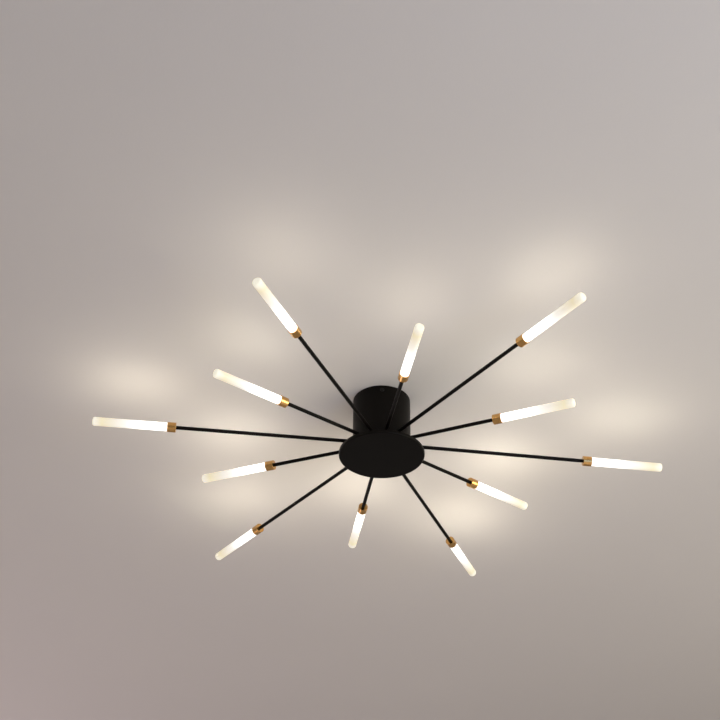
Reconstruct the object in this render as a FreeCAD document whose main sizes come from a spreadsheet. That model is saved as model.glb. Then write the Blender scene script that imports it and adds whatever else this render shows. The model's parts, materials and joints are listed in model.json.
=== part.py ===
import FreeCAD, Part
import math
import os

import Sketcher
from FreeCAD import Placement, Rotation, Vector

# Sputnik ceiling light: a black can screwed flat to the ceiling, a black disc under it, and twelve thin arms
# that fan out of the can's side, each with a brass cup and a frosted light tube.
#
# Frame: the origin is the light's centre on the ceiling plane, +Z points up into the ceiling, and the whole
# light hangs below it. Pieces turned about the hub are drawn with their own +X along the depth, pointing down.
# Pieces on an arm are drawn with +X along the arm, pointing outwards.

ARM_COUNT = 12
STUD_COUNT = 3
FLATS_TO_SIDE = 1.732051        # a hexagon is this many sides wide across its flats

# Name, value in millimetres or degrees, meaning.
DRIVING_SIZES = (
    ("total_depth", 115.5, "ceiling to the underside of the disc"),
    ("canopy_diameter", 102.0, "outside of the canopy can"),
    ("canopy_wall", 1.2, "sheet of the can's side"),
    ("canopy_floor", 1.2, "sheet of the can's closed end"),
    ("disc_diameter", 150.0, "outside of the disc"),
    ("disc_sheet", 1.5, "sheet that the disc is pressed from"),
    ("disc_lip", 6.0, "height of the disc's turned-up rim"),
    ("disc_bend", 2.2, "outside radius of the bend at the rim"),
    ("stud_diameter", 4.0, "welded studs on the back of the disc"),
    ("stud_circle_radius", 38.0, "hub axis to a stud"),
    ("stud_first_azimuth", 30.0, "direction of the first stud"),
    ("stud_end", 1.0, "stud past its nut"),
    ("stud_play", 0.25, "radial gap of a stud in the can's floor"),
    ("cover_nut_width", 7.0, "stud nut across its flats"),
    ("cover_nut_thickness", 3.2, "height of a stud nut"),
    ("bracket_azimuth", 90.0, "direction of the ceiling strip and of what is built under it"),
    ("bracket_width", 16.0, "width of the ceiling strip"),
    ("bracket_sheet", 2.0, "thickness of the ceiling strip"),
    ("bracket_ear", 16.0, "ceiling to the end of a strip's ear"),
    ("bracket_gap", 0.3, "corner of an ear to the can's inside"),
    ("slot_spacing", 60.0, "centre to centre of the ceiling screw slots"),
    ("slot_width", 4.6, "width of a ceiling screw slot"),
    ("slot_length", 14.0, "end to end of a ceiling screw slot"),
    ("side_screw_diameter", 4.0, "thread of the screws that hold the can"),
    ("side_screw_drop", 10.0, "ceiling to the axis of a side screw"),
    ("side_screw_length", 7.0, "side screw under its head"),
    ("side_screw_head", 7.0, "diameter of a side screw's head"),
    ("side_screw_head_height", 1.8, "height of a side screw's head"),
    ("side_screw_play", 0.2, "radial gap of a side screw in the can"),
    ("thread_play", 0.05, "radial gap drawn between a thread and its tapped hole"),
    ("arm_rise", 26.0, "underside of the disc to the plane that the arms fan out in"),
    ("first_arm_azimuth", 7.5, "direction that arm 1 is spaced from"),
    ("long_reach", 359.0, "hub axis to the back of a cup on a long arm"),
    ("short_reach", 206.0, "hub axis to the back of a cup on a short arm"),
    ("arm_diameter", 6.4, "outside of an arm tube"),
    ("arm_thread", 5.0, "thread on both ends of an arm tube"),
    ("arm_bore", 3.4, "bore of an arm tube"),
    ("arm_hole_play", 0.3, "radial gap of an arm's thread in the can's side"),
    ("arm_shoulder_gap", 0.3, "can's side to the shoulder of an arm"),
    ("arm_thread_end", 1.5, "arm thread past its nut"),
    ("arm_nut_width", 8.0, "arm nut across its flats"),
    ("arm_nut_thickness", 3.2, "height of an arm nut"),
    ("arm_nut_gap", 0.3, "can's inside to the face of an arm nut"),
    ("cup_length", 15.0, "length of a brass cup"),
    ("cup_diameter", 17.5, "outside of a brass cup"),
    ("cup_floor", 4.0, "thickness of a cup's closed end"),
    ("cup_chamfer", 0.5, "chamfer round the back of a cup"),
    ("tube_diameter", 15.0, "outside of a light tube"),
    ("tube_wall", 1.5, "wall of a light tube"),
    ("tube_shown", 127.5, "light tube outside its cup"),
    ("tube_tip_round", 6.6, "outside radius round a light tube's tip"),
    ("tube_play", 0.1, "radial gap of a light tube in its cup"),
    ("tube_seat_gap", 0.1, "cup's floor to the end of a light tube"),
    ("socket_diameter", 11.2, "outside of a lamp socket"),
    ("socket_length", 8.0, "length of a lamp socket"),
    ("pin_spacing", 4.0, "centre to centre of a bulb's two pins"),
    ("pin_diameter", 0.7, "diameter of a bulb's pin"),
    ("pin_length", 6.5, "length of a bulb's pin"),
    ("pin_play", 0.1, "radial gap of a pin in its socket"),
    ("pin_hole_spare", 0.5, "pin hole past the end of a pin"),
    ("bulb_seat_gap", 0.1, "socket to the base of a bulb"),
    ("bulb_base_diameter", 10.0, "moulded base of a bulb"),
    ("bulb_base_length", 7.0, "length of a bulb's base"),
    ("bulb_diameter", 9.4, "glowing capsule of a bulb"),
    ("bulb_length", 54.0, "bulb without its pins"),
    ("bulb_tip_round", 4.5, "radius round a bulb's tip"),
    ("lead_diameter", 2.2, "twin lead inside an arm"),
    ("driver_length", 56.0, "power supply along the strip"),
    ("driver_width", 30.0, "power supply across the strip"),
    ("driver_height", 17.0, "power supply above the can's floor"),
    ("driver_corner", 3.0, "radius of a power supply's upright corners"),
    ("connector_diameter", 24.0, "cap that joins the twelve leads"),
    ("connector_above", 4.0, "top of the cap above the arm plane"),
    ("connector_lead_gap", 0.1, "cap's side to the end of a lead"),
    ("terminal_length", 40.0, "mains terminal block along the strip"),
    ("terminal_width", 17.0, "mains terminal block across the strip"),
    ("terminal_height", 14.0, "mains terminal block below the strip"),
    ("terminal_hole", 3.2, "wire holes of the terminal block"),
    ("terminal_pitch", 9.0, "centre to centre of the wire holes"),
    ("mains_lead_diameter", 4.0, "lead from the terminal block to the power supply"),
    ("mains_lead_radius", 16.5, "hub axis to the mains lead"),
    ("mains_lead_azimuth", 82.5, "direction of the mains lead, between two arms"),
)

# The arms were screwed in by hand, so each stands a little off its even place: degrees of swing about the
# hub, seen from above as anticlockwise, and degrees of tilt above the level. Arms 1, 3, 5 ... are the long ones.
ARM_LEAN = (
    (-2.0, -1.5),
    (0.0, 0.0),
    (-0.5, -1.5),
    (1.0, -2.5),
    (2.0, -2.5),
    (1.5, 0.0),
    (-0.5, 0.0),
    (0.5, -1.0),
    (0.0, -2.5),
    (1.0, -1.5),
    (-1.5, 0.5),
    (-1.5, -1.0),
)

doc = FreeCAD.newDocument("sputnik_ceiling_light")
sheet = doc.addObject("Spreadsheet::Sheet", "sizes")


class Size:
    """A number together with the formula on the sheet that it comes from."""

    def __init__(self, number, formula):
        self.number = float(number)
        self.formula = formula

    def __add__(self, other):
        other = as_size(other)
        return Size(self.number + other.number, "(%s + %s)" % (self.formula, other.formula))

    def __sub__(self, other):
        other = as_size(other)
        return Size(self.number - other.number, "(%s - %s)" % (self.formula, other.formula))

    def __mul__(self, factor):
        return Size(self.number * factor, "%s * %r" % (self.formula, factor))

    def __truediv__(self, divisor):
        return Size(self.number / divisor, "%s / %r" % (self.formula, divisor))

    def __neg__(self):
        return Size(-self.number, "(0 - %s)" % self.formula)


def as_size(value):
    return value if isinstance(value, Size) else Size(value, repr(value))


def fill_sheet():
    """Write the driving sizes as plain numbers with aliases, the arms' lean after them."""
    rows = list(DRIVING_SIZES)
    for number, (swing, tilt) in enumerate(ARM_LEAN, start=1):
        rows.append(("swing_%02d" % number, swing, "swing of arm %d" % number))
        rows.append(("tilt_%02d" % number, tilt, "tilt of arm %d" % number))
    for row, (name, value, meaning) in enumerate(rows, start=1):
        sheet.set("A%d" % row, meaning)
        sheet.set("B%d" % row, str(value))
        sheet.setAlias("B%d" % row, name)
    doc.recompute()


fill_sheet()


def size(name):
    return Size(sheet.get(name), "sizes." + name)


# ---------------------------------------------------------------- ways of making a piece

DOWN = Rotation(Vector(0, 1, 0), 90)          # turns a piece's own +X to point down from the ceiling
ALONG_X = Rotation(Vector(0, 1, 0), 90)       # turns a cylinder's own +Z along +X
NO_TURN = Rotation()
ORIGIN = Vector(0, 0, 0)


def bind(thing, **properties):
    for name, value in properties.items():
        thing.setExpression(name, as_size(value).formula)


def tie_corner(sketch, line, corner):
    """Bind the start of a sketch line to the two formulas of its corner."""
    for kind, axis, value in (("DistanceX", -2, corner[0]), ("DistanceY", -1, corner[1])):
        if value.number == 0:
            sketch.addConstraint(Sketcher.Constraint("PointOnObject", line, 1, axis))
        elif value.number > 0:
            index = sketch.addConstraint(Sketcher.Constraint(kind, -1, 1, line, 1, value.number))
            sketch.setExpression("Constraints[%d]" % index, value.formula)
        else:
            index = sketch.addConstraint(Sketcher.Constraint(kind, line, 1, -1, 1, -value.number))
            sketch.setExpression("Constraints[%d]" % index, (-value).formula)


def outline_sketch(body, plane_role, corners):
    """A closed chain of straight lines on one of the body's own planes, each corner bound to the sheet."""
    sketch = body.newObject("Sketcher::SketchObject", body.Name + "_outline")
    plane = [feature for feature in body.Origin.OriginFeatures if feature.Role == plane_role][0]
    sketch.AttachmentSupport = (plane, [""])
    sketch.MapMode = "FlatFace"
    corners = [(as_size(across), as_size(up)) for across, up in corners]
    points = [Vector(across.number, up.number, 0) for across, up in corners]
    count = len(points)
    for index in range(count):
        sketch.addGeometry(Part.LineSegment(points[index], points[(index + 1) % count]), False)
    for index in range(count):
        sketch.addConstraint(Sketcher.Constraint("Coincident", index, 2, (index + 1) % count, 1))
    for index in range(count):
        tie_corner(sketch, index, corners[index])
    return sketch


def turned(label, corners, placement=None):
    """A body turned about its own X axis from corners given as (distance along X, radius)."""
    body = doc.addObject("PartDesign::Body", label)
    body.Label = label
    sketch = outline_sketch(body, "XZ_Plane", corners)
    turning = body.newObject("PartDesign::Revolution", label + "_turning")
    turning.Profile = sketch
    turning.ReferenceAxis = (sketch, ["H_Axis"])
    turning.Angle = 360
    body.Placement = placement or Placement()
    doc.recompute()
    return body


def round_rim(body, distance, radius, rounding):
    """Fillet the circular edge of a turned body that lies at one distance along X and has one radius."""
    base = body.Tip
    names = []
    for index, edge in enumerate(base.Shape.Edges, start=1):
        curve = edge.Curve
        if isinstance(curve, Part.Circle) and abs(curve.Center.x - distance.number) < 1e-5:
            if abs(curve.Radius - radius.number) < 1e-5:
                names.append("Edge%d" % index)
    fillet = body.newObject("PartDesign::Fillet", body.Name + "_round")
    fillet.Base = (base, names)
    bind(fillet, Radius=rounding)
    body.Tip = fillet
    doc.recompute()


def under_strip(place):
    """A place drawn for a strip along X, turned about the hub to where the strip is."""
    turn = Rotation(Vector(0, 0, 1), size("bracket_azimuth").number)
    return Placement(ORIGIN, turn).multiply(place)


def rod(name, radius, length, placement=None):
    cylinder = doc.addObject("Part::Cylinder", name)
    bind(cylinder, Radius=radius, Height=length)
    cylinder.Placement = placement or Placement()
    return cylinder


def block(name, length, width, height, corner):
    """A box that runs along +X, +Y and +Z from the corner given."""
    box = doc.addObject("Part::Box", name)
    bind(box, Length=length, Width=width, Height=height)
    box.Placement = Placement(corner, NO_TURN)
    return box


def joined(label, things):
    whole = doc.addObject("Part::MultiFuse", label)
    whole.Label = label
    whole.Shapes = things
    return whole


def grouped(label, things):
    """Separate solids kept together as one node."""
    group = doc.addObject("Part::Compound", label)
    group.Label = label
    group.Links = things
    return group


def cut(label, base, tools, placement=None):
    result = doc.addObject("Part::Cut", label)
    result.Label = label
    result.Base = base
    result.Tool = tools[0] if len(tools) == 1 else grouped(label + "_cutters", tools)
    result.Placement = placement or Placement()
    return result


def hex_nut(label, across_flats, thickness, bore_radius, placement):
    prism = doc.addObject("Part::Prism", label + "_prism")
    prism.Polygon = 6
    bind(prism, Circumradius=across_flats / FLATS_TO_SIDE, Height=thickness)
    return cut(label, prism, [rod(label + "_bore", bore_radius, thickness)], placement)


def arm_frame(number):
    """Where arm number stands: +X along the arm from the hub axis, in the plane that the arms fan out in."""
    azimuth = size("first_arm_azimuth").number + (number - 1) * 360.0 / ARM_COUNT
    azimuth += size("swing_%02d" % number).number
    lift = Rotation(Vector(0, 1, 0), -size("tilt_%02d" % number).number)
    return Placement(Vector(0, 0, -arm_drop.number), Rotation(Vector(0, 0, 1), azimuth).multiply(lift))


def arm_reach(number):
    return size("long_reach") if number % 2 else size("short_reach")


def on_arm(number, distance, turn=NO_TURN):
    """A place on an arm, at a distance from the hub axis."""
    return arm_frame(number).multiply(Placement(Vector(as_size(distance).number, 0, 0), turn))


def at_lamp(number, distance=0, turn=NO_TURN):
    """A place on an arm, at a distance past the back of its cup."""
    return on_arm(number, arm_reach(number) + distance, turn)


# ---------------------------------------------------------------- sizes that follow from others

canopy_radius = size("canopy_diameter") / 2
canopy_inside = canopy_radius - size("canopy_wall")
canopy_depth = size("total_depth") - size("disc_sheet")
canopy_floor_top = canopy_depth - size("canopy_floor")
disc_radius = size("disc_diameter") / 2
arm_drop = size("total_depth") - size("arm_rise")
stud_radius = size("stud_diameter") / 2
arm_thread_radius = size("arm_thread") / 2
tapped_radius = arm_thread_radius + size("thread_play")
tube_radius = size("tube_diameter") / 2
tube_inside = tube_radius - size("tube_wall")
socket_top = size("cup_floor") + size("socket_length")
driver_top = canopy_floor_top - size("driver_height")
lead_start = size("connector_diameter") / 2 + size("connector_lead_gap")
side_screw_radius = size("side_screw_diameter") / 2
arm_numbers = range(1, ARM_COUNT + 1)


def stud_place(number, depth):
    """A point on stud number's axis, at a depth below the ceiling."""
    azimuth = math.radians(size("stud_first_azimuth").number + number * 360.0 / STUD_COUNT)
    radius = size("stud_circle_radius").number
    return Vector(radius * math.cos(azimuth), radius * math.sin(azimuth), -depth.number)


# ---------------------------------------------------------------- can, disc and their fixings

def make_canopy_shell():
    """A drawn can, open at the ceiling, with holes for the arms, the disc's studs and the side screws."""
    can = turned("canopy_can", [
        (0, canopy_inside),
        (0, canopy_radius),
        (canopy_depth, canopy_radius),
        (canopy_depth, 0),
        (canopy_floor_top, 0),
        (canopy_floor_top, canopy_inside),
    ], Placement(ORIGIN, DOWN))
    hole_radius = arm_thread_radius + size("arm_hole_play")
    holes = []
    for number in arm_numbers:
        place = on_arm(number, canopy_inside / 2, ALONG_X)
        holes.append(rod("arm_hole_%02d" % number, hole_radius, canopy_radius, place))
    for number in range(STUD_COUNT):
        place = Placement(stud_place(number, size("total_depth")), NO_TURN)
        reach = size("disc_sheet") + size("canopy_floor") + size("cover_nut_thickness")
        holes.append(rod("stud_hole_%d" % number, stud_radius + size("stud_play"), reach, place))
    across = Placement(Vector(-canopy_radius.number, 0, -size("side_screw_drop").number), ALONG_X)
    holes.append(rod("side_hole", side_screw_radius + size("side_screw_play"), canopy_radius * 2,
                     under_strip(across)))
    return cut("canopy_shell", can, holes)


def make_disc_cover():
    """A shallow pressed pan with its rim turned up, and welded studs that pass into the can."""
    lip_top = size("total_depth") - size("disc_lip")
    lip_inside = disc_radius - size("disc_sheet")
    pan = turned("disc_pan", [
        (lip_top, lip_inside),
        (lip_top, disc_radius),
        (size("total_depth"), disc_radius),
        (size("total_depth"), 0),
        (canopy_depth, 0),
        (canopy_depth, lip_inside),
    ], Placement(ORIGIN, DOWN))
    round_rim(pan, size("total_depth"), disc_radius, size("disc_bend"))
    round_rim(pan, canopy_depth, lip_inside, size("disc_bend") - size("disc_sheet"))
    studs = []
    length = size("canopy_floor") + size("cover_nut_thickness") + size("stud_end")
    for number in range(STUD_COUNT):
        place = Placement(stud_place(number, canopy_depth), NO_TURN)
        studs.append(rod("stud_%d" % number, stud_radius, length, place))
    return joined("disc_cover", [pan] + studs)


def make_cover_nuts():
    nuts = []
    for number in range(STUD_COUNT):
        place = Placement(stud_place(number, canopy_floor_top), NO_TURN)
        nuts.append(hex_nut("cover_nut_%d" % number, size("cover_nut_width"), size("cover_nut_thickness"),
                            stud_radius + size("thread_play"), place))
    return grouped("cover_nuts", nuts)


def ear_face():
    """Hub axis to the outer face of an ear, so that the ear's corners clear the round inside of the can."""
    clear = canopy_inside - size("bracket_gap")
    half_width = size("bracket_width") / 2
    number = math.sqrt(clear.number ** 2 - half_width.number ** 2)
    return Size(number, "sqrt(%s ^ 2 - (%s) ^ 2)" % (clear.formula, half_width.formula))


def make_mounting_bracket():
    """A steel strip across the can with an ear folded down at each end and two slots for ceiling screws."""
    half_length = ear_face()
    sheet_size = size("bracket_sheet")
    body = doc.addObject("PartDesign::Body", "bracket_strip")
    sketch = outline_sketch(body, "XZ_Plane", [
        (-half_length, 0),
        (half_length, 0),
        (half_length, -size("bracket_ear")),
        (half_length - sheet_size, -size("bracket_ear")),
        (half_length - sheet_size, -sheet_size),
        (sheet_size - half_length, -sheet_size),
        (sheet_size - half_length, -size("bracket_ear")),
        (-half_length, -size("bracket_ear")),
    ])
    pad = body.newObject("PartDesign::Pad", "bracket_fold")
    pad.Profile = sketch
    pad.Midplane = True
    bind(pad, Length=size("bracket_width"))
    doc.recompute()

    cutters = []
    slot_end = size("slot_width") / 2
    straight = size("slot_length") - size("slot_width")
    for side in (-1, 1):
        centre = size("slot_spacing").number / 2 * side
        low = -sheet_size.number
        corner = Vector(centre - straight.number / 2, -slot_end.number, low)
        cutters.append(block("slot_middle_%d" % side, straight, size("slot_width"), sheet_size, corner))
        for end in (-1, 1):
            place = Placement(Vector(centre + end * straight.number / 2, 0, low), NO_TURN)
            cutters.append(rod("slot_end_%d_%d" % (side, end), slot_end, sheet_size, place))
    slots = joined("bracket_slots", cutters)
    across = Placement(Vector(-half_length.number, 0, -size("side_screw_drop").number), ALONG_X)
    tapped = rod("ear_holes", side_screw_radius + size("thread_play"), half_length * 2, across)
    return cut("mounting_bracket", body, [slots, tapped], under_strip(Placement()))


def make_side_screws():
    """Two low-headed screws that hold the can to the strip's ears."""
    screws = []
    for side, turn in ((-1, Rotation(Vector(0, 0, 1), 180)), (1, NO_TURN)):
        screw = turned("side_screw_%d" % side, [
            (0, 0),
            (0, side_screw_radius),
            (size("side_screw_length"), side_screw_radius),
            (size("side_screw_length"), size("side_screw_head") / 2),
            (size("side_screw_length") + size("side_screw_head_height"), size("side_screw_head") / 2),
            (size("side_screw_length") + size("side_screw_head_height"), 0),
        ])
        tip = canopy_radius.number - size("side_screw_length").number
        screw.Placement = under_strip(Placement(Vector(tip * side, 0, -size("side_screw_drop").number), turn))
        screws.append(screw)
    return grouped("side_screws", screws)


# ---------------------------------------------------------------- arms and lamp ends

def make_arm_tube(number):
    """A thin tube with a smaller thread at both ends, shouldered on the can and on the cup."""
    reach = arm_reach(number)
    shoulder = canopy_radius + size("arm_shoulder_gap")
    inner_end = canopy_inside - size("arm_nut_gap") - size("arm_nut_thickness") - size("arm_thread_end")
    return turned("arm_tube_%02d" % number, [
        (inner_end, size("arm_bore") / 2),
        (inner_end, arm_thread_radius),
        (shoulder, arm_thread_radius),
        (shoulder, size("arm_diameter") / 2),
        (reach, size("arm_diameter") / 2),
        (reach, arm_thread_radius),
        (reach + size("cup_floor"), arm_thread_radius),
        (reach + size("cup_floor"), size("arm_bore") / 2),
    ], arm_frame(number))


def make_arm_nuts():
    face = canopy_inside - size("arm_nut_gap") - size("arm_nut_thickness")
    nuts = [hex_nut("arm_nut_%02d" % number, size("arm_nut_width"), size("arm_nut_thickness"),
                    tapped_radius, on_arm(number, face, ALONG_X)) for number in arm_numbers]
    return grouped("arm_lock_nuts", nuts)


def make_lamp_cup(number):
    """A turned brass cup, screwed on the arm's thread, that holds the socket and the light tube."""
    cup_radius = size("cup_diameter") / 2
    cup_bore = tube_radius + size("tube_play")
    return turned("lamp_cup_%02d" % number, [
        (0, tapped_radius),
        (0, cup_radius - size("cup_chamfer")),
        (size("cup_chamfer"), cup_radius),
        (size("cup_length"), cup_radius),
        (size("cup_length"), cup_bore),
        (size("cup_floor"), cup_bore),
        (size("cup_floor"), tapped_radius),
    ], at_lamp(number))


def make_light_tube(number):
    """A frosted tube with a rounded closed tip that pushes into its cup over the bulb."""
    start = size("cup_floor") + size("tube_seat_gap")
    tip = size("cup_length") + size("tube_shown")
    inner_tip = tip - size("tube_wall")
    tube = turned("light_tube_%02d" % number, [
        (start, tube_inside),
        (start, tube_radius),
        (tip, tube_radius),
        (tip, 0),
        (inner_tip, 0),
        (inner_tip, tube_inside),
    ], at_lamp(number))
    round_rim(tube, tip, tube_radius, size("tube_tip_round"))
    round_rim(tube, inner_tip, tube_inside, size("tube_tip_round") - size("tube_wall"))
    return tube


def make_lamp_sockets():
    """Ceramic two-pin sockets, one on the floor of each cup."""
    sockets = []
    hole_radius = size("pin_diameter") / 2 + size("pin_play")
    hole_depth = size("pin_length") + size("pin_hole_spare")
    for number in arm_numbers:
        name = "lamp_socket_%02d" % number
        holes = []
        for side in (-1, 1):
            low = (size("socket_length") - hole_depth).number
            place = Placement(Vector(0, side * size("pin_spacing").number / 2, low), NO_TURN)
            holes.append(rod("%s_hole_%d" % (name, side), hole_radius, hole_depth, place))
        base = rod(name + "_body", size("socket_diameter") / 2, size("socket_length"))
        sockets.append(cut(name, base, holes, at_lamp(number, size("cup_floor"), ALONG_X)))
    return grouped("lamp_sockets", sockets)


def make_led_bulb(number):
    """A two-pin capsule bulb: moulded base, glowing capsule with a rounded tip, two wire pins."""
    name = "led_bulb_%02d" % number
    base_start = socket_top + size("bulb_seat_gap")
    base_end = base_start + size("bulb_base_length")
    tip = base_start + size("bulb_length")
    capsule = turned(name + "_capsule", [
        (base_start, 0),
        (base_start, size("bulb_base_diameter") / 2),
        (base_end, size("bulb_base_diameter") / 2),
        (base_end, size("bulb_diameter") / 2),
        (tip, size("bulb_diameter") / 2),
        (tip, 0),
    ])
    round_rim(capsule, tip, size("bulb_diameter") / 2, size("bulb_tip_round"))
    pins = []
    for side in (-1, 1):
        start = base_start - size("pin_length")
        place = Placement(Vector(start.number, side * size("pin_spacing").number / 2, 0), ALONG_X)
        pins.append(rod("%s_pin_%d" % (name, side), size("pin_diameter") / 2, size("pin_length"), place))
    bulb = joined(name, [capsule] + pins)
    bulb.Placement = at_lamp(number)
    return bulb


# ---------------------------------------------------------------- wiring inside the can and the arms

def make_led_driver():
    """The power supply, standing on the can's floor."""
    box = block("driver_box", size("driver_length"), size("driver_width"), size("driver_height"),
                Vector(-size("driver_length").number / 2, -size("driver_width").number / 2,
                       -canopy_floor_top.number))
    box.Placement = under_strip(box.Placement)
    doc.recompute()
    driver = doc.addObject("Part::Fillet", "led_driver")
    driver.Label = "led_driver"
    driver.Base = box
    upright = []
    for index, edge in enumerate(box.Shape.Edges, start=1):
        ends = edge.Vertexes
        if abs(ends[0].Z - ends[1].Z) > size("driver_height").number / 2:
            upright.append((index, size("driver_corner").number, size("driver_corner").number))
    driver.Edges = upright
    return driver


def make_lead_connector():
    """The cap on the power supply where the twelve leads come together."""
    height = driver_top - arm_drop + size("connector_above")
    place = Placement(Vector(0, 0, -driver_top.number), NO_TURN)
    connector = rod("lead_connector", size("connector_diameter") / 2, height, place)
    connector.Label = "lead_connector"
    return connector


def make_arm_leads():
    """Twin leads, straight through each arm from the cap at the hub to the back of the socket."""
    leads = []
    for number in arm_numbers:
        length = arm_reach(number) + size("cup_floor") - lead_start
        leads.append(rod("arm_lead_%02d" % number, size("lead_diameter") / 2, length,
                         on_arm(number, lead_start, ALONG_X)))
    return grouped("arm_leads", leads)


def make_terminal_block():
    """The mains terminal block under the strip, with three wire holes through it from front to back."""
    low = -(size("bracket_sheet") + size("terminal_height")).number
    box = block("terminal_box", size("terminal_length"), size("terminal_width"), size("terminal_height"),
                Vector(-size("terminal_length").number / 2, -size("terminal_width").number / 2, low))
    middle = low + size("terminal_height").number / 2
    holes = []
    for side in (-1, 0, 1):
        place = Placement(Vector(side * size("terminal_pitch").number, size("terminal_width").number / 2,
                                 middle), Rotation(Vector(1, 0, 0), 90))
        holes.append(rod("terminal_hole_%d" % side, size("terminal_hole") / 2, size("terminal_width"), place))
    return cut("terminal_block", box, holes, under_strip(Placement()))


def make_mains_lead():
    """A straight lead from the underside of the terminal block down to the power supply."""
    azimuth = math.radians(size("mains_lead_azimuth").number)
    radius = size("mains_lead_radius").number
    place = Vector(radius * math.cos(azimuth), radius * math.sin(azimuth), -driver_top.number)
    length = driver_top - size("bracket_sheet") - size("terminal_height")
    lead = rod("mains_lead", size("mains_lead_diameter") / 2, length, Placement(place, NO_TURN))
    lead.Label = "mains_lead"
    return lead


# ---------------------------------------------------------------- build, check and write

pieces = [
    make_canopy_shell(),
    make_disc_cover(),
    make_cover_nuts(),
    make_mounting_bracket(),
    make_side_screws(),
    make_arm_nuts(),
    make_lamp_sockets(),
    make_led_driver(),
    make_lead_connector(),
    make_arm_leads(),
    make_terminal_block(),
    make_mains_lead(),
]
for arm in arm_numbers:
    pieces += [make_arm_tube(arm), make_lamp_cup(arm), make_light_tube(arm), make_led_bulb(arm)]
doc.recompute()

for thing in doc.Objects:
    if "Invalid" in thing.State or "Error" in thing.State:
        raise RuntimeError("%s did not build: %s" % (thing.Label, thing.State))
for piece in pieces:
    if piece.Shape.isNull() or not piece.Shape.isValid() or not piece.Shape.Solids:
        raise RuntimeError("%s has no sound solid" % piece.Label)

os.makedirs("parts", exist_ok=True)
for piece in pieces:
    piece.Shape.exportStep("parts/%s.step" % piece.Label)
    print("%-18s %2d solid(s) %10.1f mm3" % (piece.Label, len(piece.Shape.Solids), piece.Shape.Volume))
print(len(pieces), "nodes")
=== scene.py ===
import json
import math

import bmesh
import bpy
from mathutils import Matrix, Vector

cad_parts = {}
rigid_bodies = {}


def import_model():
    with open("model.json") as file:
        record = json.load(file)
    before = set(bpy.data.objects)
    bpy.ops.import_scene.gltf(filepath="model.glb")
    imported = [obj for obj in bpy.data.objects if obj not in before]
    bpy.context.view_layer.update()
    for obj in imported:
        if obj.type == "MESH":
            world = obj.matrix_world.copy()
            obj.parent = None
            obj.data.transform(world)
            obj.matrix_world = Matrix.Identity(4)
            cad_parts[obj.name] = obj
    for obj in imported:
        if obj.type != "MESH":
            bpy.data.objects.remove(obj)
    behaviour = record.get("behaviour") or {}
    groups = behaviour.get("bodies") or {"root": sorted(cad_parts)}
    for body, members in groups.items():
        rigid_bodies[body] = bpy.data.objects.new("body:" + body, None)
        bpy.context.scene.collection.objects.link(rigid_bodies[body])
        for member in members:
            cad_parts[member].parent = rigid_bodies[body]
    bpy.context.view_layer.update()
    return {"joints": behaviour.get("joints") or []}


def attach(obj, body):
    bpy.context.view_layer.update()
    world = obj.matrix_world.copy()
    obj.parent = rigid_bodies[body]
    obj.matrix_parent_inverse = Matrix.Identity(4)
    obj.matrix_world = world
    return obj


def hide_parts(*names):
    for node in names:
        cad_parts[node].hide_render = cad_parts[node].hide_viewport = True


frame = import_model()


# -------------------------------- Camera
# The photographer stood below the light and a little to its left, and looked up at the ceiling.
# The place, the lift and the lens come from the directions of the twelve arms in the picture.

camera_place = Vector((-0.0397, -1.8605, -1.2983))
camera_lift = math.radians(36.8)
camera_roll = math.radians(0.62)
camera_lens_mm = 63.035


def in_scene(name, data):
    """A new object in the scene."""
    made = bpy.data.objects.new(name, data)
    bpy.context.scene.collection.objects.link(made)
    return made


camera = in_scene("camera", bpy.data.cameras.new("camera"))
bpy.context.scene.camera = camera
camera.data.lens = camera_lens_mm
camera.data.sensor_width = 36.0
camera.matrix_world = (Matrix.Translation(camera_place)
                       @ Matrix.Rotation(math.radians(90) + camera_lift, 4, "X")
                       @ Matrix.Rotation(camera_roll, 4, "Z"))


# -------------------------------- Ceiling, floor and room light
# The ceiling that the light is screwed to: pale emulsion over plaster, with a round opening inside the can.
# Ceiling and floor show from inside the room only, so that a look from above or from under the floor shows
# the light. Five large soft lamps and pale air light the room.

class Value:
    """One output of a node. Python's operators on it add Math nodes to its tree."""

    def __init__(self, nodes, socket):
        self.nodes = nodes
        self.socket = socket

    def operator(operation, reflected=False):
        def apply(self, other):
            return self.nodes.maths(operation, *((other, self) if reflected else (self, other)))
        return apply

    __add__, __radd__ = operator("ADD"), operator("ADD", reflected=True)
    __sub__, __rsub__ = operator("SUBTRACT"), operator("SUBTRACT", reflected=True)
    __mul__, __rmul__ = operator("MULTIPLY"), operator("MULTIPLY", reflected=True)
    __truediv__, __rtruediv__ = operator("DIVIDE"), operator("DIVIDE", reflected=True)
    __mod__ = operator("FLOORED_MODULO")
    __gt__ = operator("GREATER_THAN")


class Nodes:
    """A node tree in the making."""

    def __init__(self, tree):
        self.tree = tree

    def feed(self, socket, value):
        """Give a socket a number, a colour, a link or several links."""
        if isinstance(value, list):
            for one in value:
                self.feed(socket, one)
        elif isinstance(value, Value):
            self.tree.links.new(value.socket, socket)
        elif socket.type == "RGBA":
            socket.default_value = (*value, 1.0)
        else:
            socket.default_value = value

    def node(self, kind, inputs=None, output=0, stops=None, **settings):
        made = self.tree.nodes.new(kind)
        for name, value in settings.items():
            setattr(made, name, value)
        if stops:
            elements = made.color_ramp.elements
            while len(elements) < len(stops):
                elements.new(1.0)
            for element, (place, colour) in zip(elements, stops):
                element.position = place
                element.color = (*colour, 1.0)
        for key, value in (inputs or {}).items():
            self.feed(made.inputs[key], value)
        return Value(self, made.outputs[output])

    def maths(self, operation, *operands):
        return self.node("ShaderNodeMath", dict(enumerate(operands)), operation=operation)

    def vector(self, x=0.0, y=0.0, z=0.0):
        return self.node("ShaderNodeCombineXYZ", {"X": x, "Y": y, "Z": z})


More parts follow.
